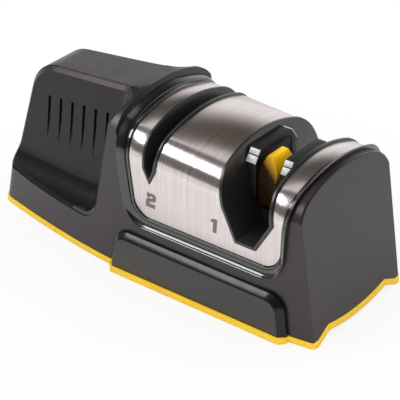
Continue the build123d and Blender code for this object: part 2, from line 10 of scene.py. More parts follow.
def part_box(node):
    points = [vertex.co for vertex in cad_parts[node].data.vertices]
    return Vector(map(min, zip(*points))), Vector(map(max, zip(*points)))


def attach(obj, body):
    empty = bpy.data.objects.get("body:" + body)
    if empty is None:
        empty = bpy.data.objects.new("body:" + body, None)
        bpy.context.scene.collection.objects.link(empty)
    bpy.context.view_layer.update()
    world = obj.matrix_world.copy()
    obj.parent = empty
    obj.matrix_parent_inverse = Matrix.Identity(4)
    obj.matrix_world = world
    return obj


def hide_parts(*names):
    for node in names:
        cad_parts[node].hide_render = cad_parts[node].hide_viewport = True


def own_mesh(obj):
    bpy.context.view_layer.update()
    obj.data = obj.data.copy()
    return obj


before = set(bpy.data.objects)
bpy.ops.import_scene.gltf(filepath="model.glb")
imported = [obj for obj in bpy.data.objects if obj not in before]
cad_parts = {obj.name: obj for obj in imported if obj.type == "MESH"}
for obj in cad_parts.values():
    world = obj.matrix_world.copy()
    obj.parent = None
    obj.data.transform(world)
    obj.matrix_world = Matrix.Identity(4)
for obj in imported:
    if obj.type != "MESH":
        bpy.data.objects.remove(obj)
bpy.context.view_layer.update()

bl_info = {
    "name": "Knife sharpener dressing",
    "version": (1, 0, 0),
    "blender": (4, 5, 0),
    "location": "View3D > Sidebar > Sharpener",
    "description": "Finishes the packed knife sharpener: round edges, brushed steel, print and a studio",
    "category": "Object",
}


def size_value(name, description, default):
    """A length that a user may change."""
    return FloatProperty(name=name, description=description, default=default, unit="LENGTH", precision=5)


def share_value(name, description, default):
    """A plain factor that a user may change."""
    return FloatProperty(name=name, description=description, default=default, precision=4)


def angle_value(name, description, default):
    """An angle that a user may change, given in degrees."""
    return FloatProperty(name=name, description=description, default=math.radians(default), subtype="ANGLE")


def colour_value(name, description, default):
    """A linear colour that a user may change."""
    return FloatVectorProperty(
        name=name, description=description, default=default, subtype="COLOR", size=3, min=0, max=1
    )


class SharpenerSizes(bpy.types.PropertyGroup):
    """Sizes of the finished pieces."""

    merge_gap: size_value("Merge gap", "Points closer than this are one point", 0.00001)
    rim_width: size_value("Rim width", "How far the rim round the finger recess reaches on each side", 0.0021)
    rim_groove: size_value("Rim groove", "Width and depth of the fine line outside the rim", 0.00035)
    recess_end: size_value("Recess end", "Place along X of the finger recess's right end", -0.0185)
    recess_gauge: size_value("Recess gauge", "Height at which that place is measured", 0.060)
    recess_lean: angle_value("Recess lean", "Lean of the recess's right end", 11.3)
    # Painted shade: below this height the recess takes the duller shelf finish
    shelf_top: size_value("Shelf top", "Height up to which the recess has its duller shelf", 0.0272)
    cut_margin: size_value("Cut margin", "How far a cutter reaches past the skin", 0.0008)
    steel_edge: size_value("Steel edge", "Width of the bevel on the steel's cut edges", 0.00022)
    plastic_edge: size_value("Plastic edge", "Width of the bevel on plastic edges", 0.0003)
    guide_edge: size_value("Guide edge", "Width of the bevel on the blade guide", 0.0006)
    spring_wire: size_value("Spring wire", "Thickness of the return spring's wire", 0.0006)
    spring_turns: IntProperty(name="Spring turns", description="Turns of the return spring", default=6, min=1)
    spring_kept: share_value("Spring kept", "Share of its length that the spring keeps when pressed", 0.82)
    bezel_reach: size_value("Bezel reach", "How far from the steel its bezel's outer edge is sought", 0.0085)
    bezel_slice: size_value("Bezel slice", "Width of the slice in which that edge is looked for", 0.0012)
    bezel_low: size_value("Bezel low", "Height over the steel from which that edge is read", 0.0003)
    pad_edge: size_value("Pad edge", "Width of the bevel on the diamond pads", 0.00012)
    print_lean: share_value("Number lean", "Share of a number's width that it leans over", 0.10)
    print_depth: size_value("Number depth", "Thickness of the printed slot numbers", 0.00006)


class SharpenerColours(bpy.types.PropertyGroup):
    """Colours of the finishes."""

    charcoal: colour_value("Charcoal", "Moulded black plastic", (0.0115, 0.0092, 0.0112))
    recess: colour_value("Recess", "Finger recesses", (0.0095, 0.0080, 0.0092))
    gloss: colour_value("Gloss black", "Glossy bezel", (0.006, 0.006, 0.008))
    inner: colour_value("Inner black", "Jaws and blocks inside the slots", (0.008, 0.008, 0.0085))
    steel: colour_value("Steel", "Brushed cover", (0.82, 0.745, 0.735))
    tray: colour_value("Tray yellow", "Base tray", (1.0, 0.62, 0.03))
    guide: colour_value("Guide yellow", "Blade guide", (1.0, 0.56, 0.004))
    # Painted shade: the guide's yellow turns to this colour down in its slot
    guide_painted_shade: colour_value("Guide dark", "Blade guide down in its slot", (0.018, 0.006, 0.0))
    grit: colour_value("Grit", "Diamond pads", (0.66, 0.66, 0.66))
    ceramic: colour_value("Ceramic", "Honing rods", (0.82, 0.80, 0.76))
    rubber: colour_value("Rubber", "Feet", (0.025, 0.025, 0.026))
    zinc: colour_value("Zinc", "Screws, pin and spring", (0.55, 0.55, 0.56))
    ink: colour_value("Ink", "Printed slot numbers", (0.19, 0.135, 0.13))
    floor: colour_value("Floor", "Studio floor", (0.80, 0.80, 0.80))


class SharpenerStudio(bpy.types.PropertyGroup):
    """Camera and floor of the studio."""

    azimuth: angle_value("Azimuth", "Camera's turn about the vertical", 37.638)
    elevation: angle_value("Elevation", "Camera's height above the horizon", 30.921)
    roll: angle_value("Roll", "Camera's turn about its own axis", 0.14)
    distance: size_value("Distance", "Camera's distance from its target", 0.7956)
    lens: FloatProperty(
        name="Lens", description="Focal length in millimetres", default=161.0, unit="CAMERA"
    )
    target: FloatVectorProperty(
        name="Target",
        description="Point that the camera looks at",
        default=(0.00765, 0.0, 0.02568),
        unit="LENGTH",
    )
    floor_size: size_value("Floor size", "Side of the studio floor", 6.0)
    floor_front: size_value("Floor front", "How far the floor reaches in front of the middle", 3.0)


def sizes():
    """The finished pieces' sizes."""
    return bpy.context.scene.sharpener_sizes


def colours():
    """The finishes' colours."""
    return bpy.context.scene.sharpener_colours


def studio():
    """The studio's values."""
    return bpy.context.scene.sharpener_studio


# Working by hand: select, merge, round, apply

# Degrees: edges sharper than these are rounded, and stay sharp in the shading
STEEL_ANGLE = 50.0
PLASTIC_ANGLE = 40.0
PLATE_ANGLE = 30.0
GUIDE_ANGLE = 20.0
# Degrees: faces that turn less than this from one to the next become one face
FLAT_ANGLE = 0.5


def pick(piece):
    """Makes one object the only selected and the active one."""
    bpy.ops.object.select_all(action="DESELECT")
    piece.select_set(True)
    bpy.context.view_layer.objects.active = piece


@contextmanager
def editing(piece):
    """Edit mode on one object, with all of it selected."""
    pick(piece)
    bpy.ops.object.mode_set(mode="EDIT")
    bpy.ops.mesh.select_all(action="SELECT")
    try:
        yield
    finally:
        bpy.ops.object.mode_set(mode="OBJECT")


def merged_copy(node, name):
    """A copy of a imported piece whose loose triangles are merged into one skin."""
    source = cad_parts[node]
    piece = bpy.data.objects.new(name, source.data.copy())
    bpy.context.scene.collection.objects.link(piece)
    with editing(piece):
        bpy.ops.mesh.remove_doubles(threshold=sizes().merge_gap)
        bpy.ops.mesh.customdata_custom_splitnormals_clear()
    return piece


def face_outwards(piece):
    """Turns all faces of a closed piece outwards."""
    with editing(piece):
        bpy.ops.mesh.normals_make_consistent(inside=False)


def apply_modifier(piece, kind, **values):
    """Adds a modifier with its values and applies it."""
    modifier = piece.modifiers.new(kind.title(), kind)
    for key, value in values.items():
        setattr(modifier, key, value)
    pick(piece)
    bpy.ops.object.modifier_apply(modifier=modifier.name)


def smooth_by_angle(piece, degrees):
    """Smooth shading that keeps edges sharper than an angle."""
    pick(piece)
    bpy.ops.object.shade_smooth_by_angle(angle=math.radians(degrees))


def soften_edges(piece, width, degrees, segments):
    """Rounds every edge sharper than an angle."""
    with editing(piece):
        bpy.ops.mesh.dissolve_limited(angle_limit=math.radians(FLAT_ANGLE))
    apply_modifier(
        piece,
        "BEVEL",
        width=width,
        segments=segments,
        limit_method="ANGLE",
        angle_limit=math.radians(degrees),
        use_clamp_overlap=True,
        loop_slide=True,
    )
    smooth_by_angle(piece, degrees)


def dress(piece, *materials):
    """Gives a piece its finishes in place of what it had, the first one all over."""
    piece.data.materials.clear()
    for material in materials:
        piece.data.materials.append(material)


def rounded(node, name, width, degrees, *materials, segments=2):
    """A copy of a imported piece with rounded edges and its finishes."""
    piece = merged_copy(node, name)
    soften_edges(piece, width, degrees, segments)
    dress(piece, *materials)
    return piece


def settle(piece, body, slot, *nodes):
    """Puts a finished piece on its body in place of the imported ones."""
    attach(piece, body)
    if nodes:
        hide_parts(*nodes)


# Finishes

# Noise values lie mostly between these two
NOISE_LOW = 0.3
NOISE_HIGH = 0.7
# Heights of the bumps on moulded plastic and grit, on plain steel and on brushed steel
GRAIN_DEPTH = 0.00008
DRAWN_DEPTH = 0.00003
BRUSHED_DEPTH = 0.00002


def shade(colour, factor):
    """A colour made lighter or darker."""
    return tuple(min(1.0, channel * factor) for channel in colour)


class Finish:
    """A node material under construction, on the piece's own coordinates."""

    def __init__(self, name):
        self.material = bpy.data.materials.new(name)
        self.material.use_nodes = True
        self.tree = self.material.node_tree
        self.shader = self.tree.nodes["Principled BSDF"]
        self.place = self.tree.nodes.new("ShaderNodeTexCoord").outputs["Object"]

    def set(self, **values):
        """Sets plain values and colours on the shader's own sockets."""
        for key, value in values.items():
            socket = self.shader.inputs[key.replace("_", " ")]
            socket.default_value = (*value, 1.0) if hasattr(value, "__len__") and len(value) == 3 else value
        return self

    def link(self, output, key):
        """Leads a node's output to one of the shader's sockets."""
        self.tree.links.new(output, self.shader.inputs[key])

    def noise(self, scale=1.0, detail=2.0, stretch=(1.0, 1.0, 1.0), roughness=0.5):
        """Cloudy noise, which may be stretched into lines."""
        mapping = self.tree.nodes.new("ShaderNodeMapping")
        mapping.inputs["Scale"].default_value = stretch
        self.tree.links.new(self.place, mapping.inputs["Vector"])
        texture = self.tree.nodes.new("ShaderNodeTexNoise")
        texture.inputs["Scale"].default_value = scale
        texture.inputs["Detail"].default_value = detail
        texture.inputs["Roughness"].default_value = roughness
        self.tree.links.new(mapping.outputs["Vector"], texture.inputs["Vector"])
        return texture.outputs["Fac"]

    def ramp(self, factor, low, high, start=NOISE_LOW, end=NOISE_HIGH):
        """One colour that turns into another."""
        node = self.tree.nodes.new("ShaderNodeValToRGB")
        first, last = node.color_ramp.elements
        first.position = start
        last.position = end
        first.color = (*low, 1.0)
        last.color = (*high, 1.0)
        self.tree.links.new(factor, node.inputs["Fac"])
        return node.outputs["Color"]

    def tones(self, factor, colour, dark, light, **limits):
        """Darker and lighter tones of one colour, as the base colour."""
        self.link(self.ramp(factor, shade(colour, dark), shade(colour, light), **limits), "Base Color")

    def sheen(self, factor, low, high):
        """Roughness that varies between two values."""
        node = self.tree.nodes.new("ShaderNodeMapRange")
        node.inputs["From Min"].default_value = NOISE_LOW
        node.inputs["From Max"].default_value = NOISE_HIGH
        node.inputs["To Min"].default_value = low
        node.inputs["To Max"].default_value = high
        self.tree.links.new(factor, node.inputs["Value"])
        self.link(node.outputs["Result"], "Roughness")

    def bump(self, factor, strength, depth=GRAIN_DEPTH):
        """A grain that stands up from the surface."""
        node = self.tree.nodes.new("ShaderNodeBump")
        node.inputs["Strength"].default_value = strength
        node.inputs["Distance"].default_value = depth
        self.tree.links.new(factor, node.inputs["Height"])
        self.link(node.outputs["Normal"], "Normal")


def grained(name, rough, grain=3200.0, strength=0.22):
    """The uneven sheen and the fine spark-eroded grain of a moulding, with no colour yet."""
    finish = Finish(name)
    finish.sheen(finish.noise(scale=160.0, detail=4.0), *rough)
    finish.bump(finish.noise(scale=grain), strength)
    return finish


def moulded(name, colour, rough, **grain):
    """A grained moulding of slightly cloudy colour."""
    finish = grained(name, rough, **grain)
    finish.tones(finish.noise(scale=45.0, detail=3.0), colour, dark=0.93, light=1.07)
    return finish


def charcoal_plastic():
    """Warm charcoal black of the housing."""
    finish = moulded("charcoal_plastic", colours().charcoal, (0.31, 0.37), grain=1900.0, strength=0.26)
    return finish.set(Specular_IOR_Level=0.82, Specular_Tint=(1.0, 0.91, 0.98)).material


def recess_plastic():
    """Softer, duller black of the finger recesses."""
    finish = moulded("recess_plastic", colours().recess, (0.32, 0.40), grain=1900.0, strength=0.34)
    return finish.set(Specular_IOR_Level=0.42, Specular_Tint=(1.0, 0.92, 1.0)).material


def shelf_painted_shade():
    """Painted shade: a duller copy of the recess black, which keeps the shelf below each finger recess dark.
    """
    finish = moulded("shelf_painted_shade", colours().recess, (0.42, 0.50), grain=1900.0, strength=0.34)
    return finish.set(Specular_IOR_Level=0.12).material


def plate_plastic():
    """Matt charcoal of the plates' faces."""
    finish = moulded("plate_plastic", colours().charcoal, (0.33, 0.40), strength=0.12)
    return finish.set(Specular_IOR_Level=0.95).material


def plate_gloss():
    """Polished black of the plates' chamfers."""
    finish = moulded("plate_gloss", colours().gloss, (0.16, 0.22), grain=1400.0, strength=0.06)
    return finish.set(Specular_IOR_Level=0.42).material


def liner_plastic():
    """Satin black of the slot liners."""
    finish = moulded("liner_plastic", shade(colours().inner, 1.5), (0.27, 0.34), strength=0.10)
    return finish.set(Specular_IOR_Level=0.9).material


def inner_plastic():
    """Deep black of the jaws and blocks."""
    finish = moulded("inner_plastic", colours().inner, (0.44, 0.54), strength=0.10)
    return finish.set(Specular_IOR_Level=0.4).material


def gloss_plastic():
    """Polished black of the bezel."""
    finish = moulded("gloss_plastic", colours().gloss, (0.10, 0.16), grain=1400.0, strength=0.04)
    return finish.set(Specular_IOR_Level=1.0, Coat_Weight=0.8, Coat_Roughness=0.05).material


def tray_plastic():
    """Satin yellow of the base tray."""
    finish = moulded("tray_plastic", colours().tray, (0.36, 0.44), strength=0.06)
    return finish.set(Specular_IOR_Level=0.4, Subsurface_Weight=0.06, Subsurface_Scale=0.002).material


# Painted shade: the guide's yellow turns dark, as the slot's shade would make it, along this way, between
# these two places on it
GUIDE_SHADE_SLOPES = (1.0, 0.5, 1.0)
GUIDE_SHADE_HEIGHTS = (0.1105, 0.1225)


def guide_plastic():
    """Yellow of the blade guide, with painted shade where it goes down between the jaws."""
    finish = grained("guide_plastic", (0.36, 0.44), strength=0.06)
    slope = finish.tree.nodes.new("ShaderNodeVectorMath")
    slope.operation = "DOT_PRODUCT"
    slope.inputs[1].default_value = GUIDE_SHADE_SLOPES
    finish.tree.links.new(finish.place, slope.inputs[0])
    low, high = GUIDE_SHADE_HEIGHTS
    depth = finish.tree.nodes.new("ShaderNodeMapRange")
    depth.inputs["From Min"].default_value = low
    depth.inputs["From Max"].default_value = high
    finish.tree.links.new(slope.outputs["Value"], depth.inputs["Value"])
    # Painted shade: yellow at the top, the painted dark colour down between the jaws
    fade = finish.ramp(depth.outputs["Result"], colours().guide_painted_shade, colours().guide, start=0.0, end=1.0)
    finish.link(fade, "Base Color")
    return finish.set(Specular_IOR_Level=0.25).material


def brushed_steel():
    """Steel brushed round the arch, so its lines cross the length."""
    finish = Finish("brushed_steel")
    lines = finish.noise(detail=3.0, stretch=(4200.0, 12.0, 12.0), roughness=0.6)
    broad = finish.noise(detail=3.0, stretch=(900.0, 8.0, 8.0))
    finish.tones(lines, colours().steel, dark=0.80, light=1.13)
    finish.sheen(broad, 0.20, 0.26)
    finish.bump(lines, strength=0.03, depth=BRUSHED_DEPTH)
    tangent = finish.tree.nodes.new("ShaderNodeTangent")
    tangent.direction_type = "RADIAL"
    tangent.axis = "X"
    finish.link(tangent.outputs["Tangent"], "Tangent")
    return finish.set(Metallic=1.0, Anisotropic=0.75, Anisotropic_Rotation=0.25).material


def plain_steel():
    """Zinc plated screws, drawn pin and spring wire."""
    finish = Finish("plain_steel")
    finish.tones(finish.noise(scale=600.0, detail=3.0), colours().zinc, dark=0.85, light=1.1)
    finish.sheen(finish.noise(scale=900.0), 0.28, 0.4)
    finish.bump(finish.noise(scale=2500.0), strength=0.1, depth=DRAWN_DEPTH)
    return finish.set(Metallic=1.0).material


def gritty(name, colour, dark, light, end, rough):
    """Abrasive with fine bright and dark grains."""
    finish = Finish(name)
    finish.tones(finish.noise(scale=4200.0, detail=3.0), colour, dark, light, start=0.36, end=end)
    finish.sheen(finish.noise(scale=3800.0), *rough)
    finish.bump(finish.noise(scale=5200.0), strength=0.5)
    return finish


def diamond_grit():
    """Pale abrasive of the pads."""
    finish = gritty("diamond_grit", colours().grit, dark=0.62, light=1.3, end=0.64, rough=(0.3, 0.55))
    return finish.set(Metallic=0.35).material


def dark_grit_painted_shade():
    """Abrasive painted dark for the shade on the walls of the sharpening channel."""
    finish = gritty("dark_grit_painted_shade", colours().inner, dark=1.0, light=4.0, end=0.70, rough=(0.4, 0.6))
    return finish.material


def fired_ceramic():
    """Fine white ceramic."""
    return moulded("fired_ceramic", colours().ceramic, (0.45, 0.6), grain=5000.0, strength=0.15).material


def soft_rubber():
    """Matt black rubber of the feet."""
    return moulded("soft_rubber", colours().rubber, (0.7, 0.85), grain=2200.0, strength=0.35).material


def print_ink():
    """Mauve grey ink of the slot numbers."""
    return moulded("print_ink", colours().ink, (0.45, 0.6), grain=2600.0, strength=0.1).material


# Edges that run round an opening

class Rim:
    """One point of a closed edge, with the ways that lead off it over the outer and the inner face."""

    def __init__(self, place, outer, inner):
        self.place = place
        self.outer = outer.normalized()
        self.inner = inner.normalized()


def away(edge, face):
    """The way over a face that leads off one of its edges."""
    first, last = (v.co for v in edge.verts)
    way = face.normal.cross(last - first).normalized()
    return way if way.dot(face.calc_center_median() - first) > 0 else -way


def chains(edges):
    """Closed runs of corner points along a list of edges."""
    left = {edge.index: edge for edge in edges}
    runs = []
    while left:
        edge = left.pop(min(left))
        run = list(edge.verts)
        while edge:
            edge = next((e for e in run[-1].link_edges if e.index in left), None)
            if edge:
                del left[edge.index]
                run.append(edge.other_vert(run[-1]))
        if run[0] is run[-1]:
            runs.append(run[:-1])
    return runs


def rim_along(run):
    """The rim along a closed run, whose outer face is the one that looks more along Y at its lowest point."""
    sides = []
    for first, last in zip(run, run[1:] + run[:1]):
        edge = next(e for e in first.link_edges if e.other_vert(first) is last)
        outer, inner = edge.link_loops
        if outer.vert is not first:
            outer, inner = inner, outer
        sides.append((edge, outer.face, inner.face))
    lowest = min(range(len(run)), key=lambda i: run[i].co.z)
    _, outer, inner = sides[lowest]
    if abs(outer.normal.y) < abs(inner.normal.y):
        sides = [(edge, inner, outer) for edge, outer, inner in sides]
    outwards = [away(edge, outer) for edge, outer, inner in sides]
    inwards = [away(edge, inner) for edge, outer, inner in sides]
    return [
        Rim(corner.co.copy(), outwards[i - 1] + outwards[i], inwards[i - 1] + inwards[i])
        for i, corner in enumerate(run)
    ]


def edge_rims(piece, degrees, wanted):
    """Closed outward edges of a merged piece, the longest first, read at their corner points."""
    skin = bmesh.new()
    skin.from_mesh(piece.data)
    skin.edges.index_update()
    sharp = [
        e
        for e in skin.edges
        if e.is_manifold
        and e.calc_face_angle_signed() > math.radians(degrees)
        and wanted((e.verts[0].co + e.verts[1].co) / 2)
    ]
    rims = [rim_along(run) for run in chains(sharp)]
    skin.free()
    return sorted(rims, key=len, reverse=True)


def run_round(name, sections):
    """A closed ring whose cross sections are given one by one, shaped from a torus."""
    bpy.ops.object.select_all(action="DESELECT")
    bpy.ops.mesh.primitive_torus_add(major_segments=len(sections), minor_segments=len(sections[0]))
    piece = bpy.context.object
    piece.name = name
    places = [place for section in sections for place in section]
    for vertex, place in zip(piece.data.vertices, places):
        vertex.co = place
    face_outwards(piece)
    return piece


def cut_away(piece, cutter):
    """Cuts one piece out of another and throws the cutter away."""
    apply_modifier(piece, "BOOLEAN", operation="DIFFERENCE", solver="MANIFOLD", object=cutter)
    bpy.data.objects.remove(cutter)


# Housing

# Box round a recess's grooves: between these places along X, distances from the middle and heights
GROOVE_BOX = ((-0.0705, -0.0295), (0.0115, 0.0215), (0.0375, 0.0650))
# Heights above which a recess has its border and its faces, and up to which its shelf bends into its wall
BORDER_FOOT = 0.0185
RECESS_FOOT = 0.0195
BEND_TOP = 0.0360
# Distances from the middle between which a recess's faces lie
RECESS_DEPTHS = (0.0120, 0.0306)
# Least share of a wall's normal along Y, and least X of a normal that doesn't belong to the right end
WALL_SHARE = 0.85
END_SHARE = -0.7
# At the foot of a recess its rim reaches this share of its width over the shelf
RIM_FOOT_SHARE = 0.25
# Degrees: a recess's border is sharper than the first, and the housing's shading keeps edges past the second
BORDER_ANGLE = 20.0
HOUSING_ANGLE = 24.0
# The housing has one recess in front and one at the rear
RECESS_COUNT = 2
# Places of a recess's two finishes in the housing's list; the shelf's one is a duller copy, painted shade
RECESS_FINISH = 1
SHELF_PAINTED_SHADE = 2


def recess_side(place):
    """How far a place is to the left of the recess's slanted right end."""
    return sizes().recess_end + (place.z - sizes().recess_gauge) * math.tan(sizes().recess_lean) - place.x


def in_groove(place):
    """Whether a place is on one of the recess's grooves."""
    values = (place.x, abs(place.y), place.z)
    return all(low < value < high for value, (low, high) in zip(values, GROOVE_BOX))


def on_border(place):
    """Whether a place may be on the border of a finger recess."""
    return recess_side(place) > 0 and place.z > BORDER_FOOT and not in_groove(place)


def in_recess(place, normal):
    """Whether a face is on the shelf, the wall or a groove of a finger recess."""
    if in_groove(place):
        return True
    near, far = RECESS_DEPTHS
    deep = near < abs(place.y) < far and place.z > RECESS_FOOT
    facing = normal.y * place.y > 0 and abs(normal.y) > WALL_SHARE
    return deep and recess_side(place) > 0 and normal.x > END_SHARE and (facing or place.z < BEND_TOP)


def rim_cut(rim):
    """Cutter for a flat rim along one recess border, with a fine line on its outer side."""
    wide = sizes().rim_width
    fine = sizes().rim_groove
    margin = sizes().cut_margin
    sections = []
    for point in rim:
        out = -(point.outer + point.inner).normalized()
        low = max(0.0, -point.outer.z)
        start = point.place + point.outer * wide
        end = point.place + point.inner * wide * (1.0 - low + low * RIM_FOOT_SHARE)
        along = (end - start).normalized()
        sections.append((
            point.place + out * wide,
            start - along * margin,
            start,
            start - out * fine,
            start + along * fine - out * fine,
            start + along * fine * 2,
            end + along * margin,
        ))
    return run_round("rim_cutter", sections)


class OBJECT_OT_sharpener_housing(bpy.types.Operator):
    """Cuts a flat rim round both finger recesses of the housing"""

    bl_idname = "object.sharpener_housing"
    bl_label = "Housing"

    def execute(self, context):
        piece = merged_copy("main_housing", "moulded_housing")
        rims = edge_rims(piece, BORDER_ANGLE, on_border)[:RECESS_COUNT]
        if len(rims) < RECESS_COUNT:
            raise RuntimeError("the housing's recess borders aren't closed")
        for rim in rims:
            cut_away(piece, rim_cut(rim))
        with editing(piece):
            bpy.ops.mesh.bisect(plane_co=(0.0, 0.0, sizes().shelf_top), plane_no=(0.0, 0.0, 1.0))
        smooth_by_angle(piece, HOUSING_ANGLE)
        apply_modifier(piece, "WEIGHTED_NORMAL", keep_sharp=True, weight=60)
        dress(piece, charcoal_plastic(), recess_plastic(), shelf_painted_shade())
        for face in piece.data.polygons:
            if in_recess(face.center, face.normal):
                # Painted shade: the shelf takes the duller copy of the recess finish
                on_shelf = face.center.z < sizes().shelf_top
                face.material_index = SHELF_PAINTED_SHADE if on_shelf else RECESS_FINISH
        settle(piece, "root", "housing_black", "main_housing")
        return {"FINISHED"}


# Steel cover with its numbers

# Outlines of the printed numbers, clockwise from the top left, as shares of their width and height
NUMBER_SHARES = {
    "1": ((0.0, 0.84), (0.40, 1.0), (1.0, 1.0), (1.0, 0.0), (0.42, 0.0), (0.42, 0.72), (0.0, 0.72)),
    "2": (
        (0.05, 1.0), (0.78, 1.0), (1.0, 0.88), (1.0, 0.56), (0.82, 0.44), (0.38, 0.40),
        (0.38, 0.27), (0.98, 0.27), (0.98, 0.0), (0.0, 0.0), (0.0, 0.50), (0.16, 0.62),
        (0.64, 0.66), (0.64, 0.78), (0.36, 0.78), (0.36, 0.68), (0.05, 0.68),
    ),
}
# Left, right, bottom and top of each number on the front of the steel
NUMBER_BOXES = {
    "2": (0.0047, 0.0105, 0.0380, 0.0451),
    "1": (0.0393, 0.0432, 0.0385, 0.0452),
}


def slot_number(text, face):
    """A printed number that fills its box on the front of the steel and leans a little to the right."""
    shares = NUMBER_SHARES[text]
    left, right, bottom, top = NUMBER_BOXES[text]
    lean = sizes().print_lean
    bpy.ops.object.select_all(action="DESELECT")
    bpy.ops.mesh.primitive_circle_add(vertices=len(shares), fill_type="NGON")
    piece = bpy.context.object
    piece.name = "slot_number_" + text
    for vertex, (across, up) in zip(piece.data.vertices, shares):
        x = left + (across * (1.0 - lean) + up * lean) * (right - left)
        vertex.co = (x, face, bottom + up * (top - bottom))
    with editing(piece):
        bpy.ops.mesh.extrude_region_move(TRANSFORM_OT_translate={"value": (0.0, -sizes().print_depth, 0.0)})
    face_outwards(piece)
    return piece


class OBJECT_OT_sharpener_cover(bpy.types.Operator):
    """Brushes the steel cover, rounds its cut edges and prints the slot numbers"""

    bl_idname = "object.sharpener_cover"
    bl_label = "Steel cover"

    def execute(self, context):
        piece = rounded("steel_cover", "cover_sheet", sizes().steel_edge, STEEL_ANGLE, brushed_steel())
        settle(piece, "root", "cover_steel", "steel_cover")
        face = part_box("steel_cover")[0].y
        ink = print_ink()
        for text in NUMBER_BOXES:
            number = slot_number(text, face)
            dress(number, ink)
            settle(number, "root", "liner_black")
        return {"FINISHED"}


# Bezel and slot liners

# Cross section of the bezel: share of its width outwards from the steel, height over the steel where it runs
# along the bottom, and height elsewhere
BEZEL_SHARES_AND_HEIGHTS = (
    (0.06, -0.0008, -0.0008), (0.07, 0.0001, 0.0), (0.10, 0.0004, 0.0003), (0.25, 0.0005, 0.0003),
    (0.28, 0.0003, 0.0001), (0.29, -0.0003, -0.0003), (0.35, -0.0003, -0.0003), (0.36, 0.0001, 0.0004),
    (0.40, 0.0001, 0.0008), (0.50, 0.0001, 0.0011), (0.58, 0.00015, 0.0013), (0.66, 0.0003, 0.0015),
    (0.73, 0.00058, 0.0016), (0.79, 0.00092, 0.0017), (0.84, 0.0013, 0.0018), (0.88, 0.00168, 0.0019),
    (0.91, 0.0020, 0.0019), (0.94, 0.0021, 0.0019), (0.98, 0.0020, 0.0017), (1.0, 0.0014, 0.0013),
    (1.0, -0.0008, -0.0008),
)


def edge_places(piece, step):
    """Places along every edge of a piece, no further apart than a step."""
    corners = [vertex.co for vertex in piece.data.vertices]
    places = []
    for edge in piece.data.edges:
        first, last = (corners[i] for i in edge.vertices)
        count = max(1, math.ceil((last - first).length / step))
        places.extend(first.lerp(last, i / count) for i in range(count))
    return places


def reach(rim):
    """How far a rim reaches out to a side and down."""
    return max(abs(point.place.y) for point in rim) - min(point.place.z for point in rim)


def bezel_ring():
    """The bezel run round the edge of the steel: a low lip, a fine line and a bead that fills its width."""
    steel = merged_copy("steel_cover", "steel_edge")
    border = merged_copy("cover_bezel", "bezel_edge")
    rim = max(edge_rims(steel, STEEL_ANGLE, lambda place: True), key=reach)
    places = edge_places(border, sizes().bezel_slice)
    tree = kdtree.KDTree(len(places))
    for i, place in enumerate(places):
        tree.insert(place, i)
    tree.balance()
    sections = []
    for point in rim:
        out = -point.outer
        up = -point.inner
        along = out.cross(up)
        near = [place - point.place for place, _, _ in tree.find_range(point.place, sizes().bezel_reach)]
        near = [way for way in near if way.dot(up) > sizes().bezel_low]
        wide = max(way.dot(out) for way in near if abs(way.dot(along)) < sizes().bezel_slice)
        bottom = max(0.0, -out.z)
        sections.append([
            point.place + out * share * wide + up * (low * bottom + high * (1.0 - bottom))
            for share, low, high in BEZEL_SHARES_AND_HEIGHTS
        ])
    bpy.data.objects.remove(steel)
    bpy.data.objects.remove(border)
    return run_round("bezel_frame", sections)


class OBJECT_OT_sharpener_bezel(bpy.types.Operator):
    """Runs the glossy bezel round the steel"""

    bl_idname = "object.sharpener_bezel"
    bl_label = "Bezel"

    def execute(self, context):
        piece = bezel_ring()
        smooth_by_angle(piece, PLASTIC_ANGLE)
        dress(piece, gloss_plastic())
        settle(piece, "root", "bezel_black", "cover_bezel")
        return {"FINISHED"}


class OBJECT_OT_sharpener_slots(bpy.types.Operator):
    """Finishes the liners of both slots"""

    bl_idname = "object.sharpener_slots"
    bl_label = "Slot liners"

    def execute(self, context):
        satin = liner_plastic()
        for node in ("slot_1_liner", "slot_2_liner"):
            piece = rounded(node, node + "_trough", sizes().plastic_edge, PLASTIC_ANGLE, satin)
            settle(piece, "root", "liner_black", node)
        return {"FINISHED"}


# What the slots hold

class OBJECT_OT_sharpener_cartridge(bpy.types.Operator):
    """Finishes the jaws, the diamond pads and plates and the honing set"""

    bl_idname = "object.sharpener_cartridge"
    bl_label = "Cartridge and hone"

    def execute(self, context):
        black = inner_plastic()
        for node in ("sharpening_cartridge", "hone_holder"):
            piece = rounded(node, node + "_block", sizes().plastic_edge, PLASTIC_ANGLE, black)
            settle(piece, "root", "cartridge_black", node)
        grit = diamond_grit()
        painted_shade_grit = dark_grit_painted_shade()
        ceramic = fired_ceramic()
        for side in ("left", "right"):
            # Painted shade: the channel's diamond plates are dark for the shade down in the channel
            dress(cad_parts[side + "_diamond_plate"], painted_shade_grit)
            dress(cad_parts[side + "_hone_rod"], ceramic)
            for end in ("front", "rear"):
                corner = side + "_" + end
                node = corner + "_diamond_pads"
                piece = rounded(node, corner + "_grit_pads", sizes().pad_edge, PLASTIC_ANGLE, grit)
                settle(piece, "root", "diamond_grit", node)
        dress(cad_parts["guide_pivot_pin"], plain_steel())
        return {"FINISHED"}


# Sides of the spring's wire, and steps in one of its turns
SPRING_WIRE_SIDES = 10
SPRING_TURN_STEPS = 24


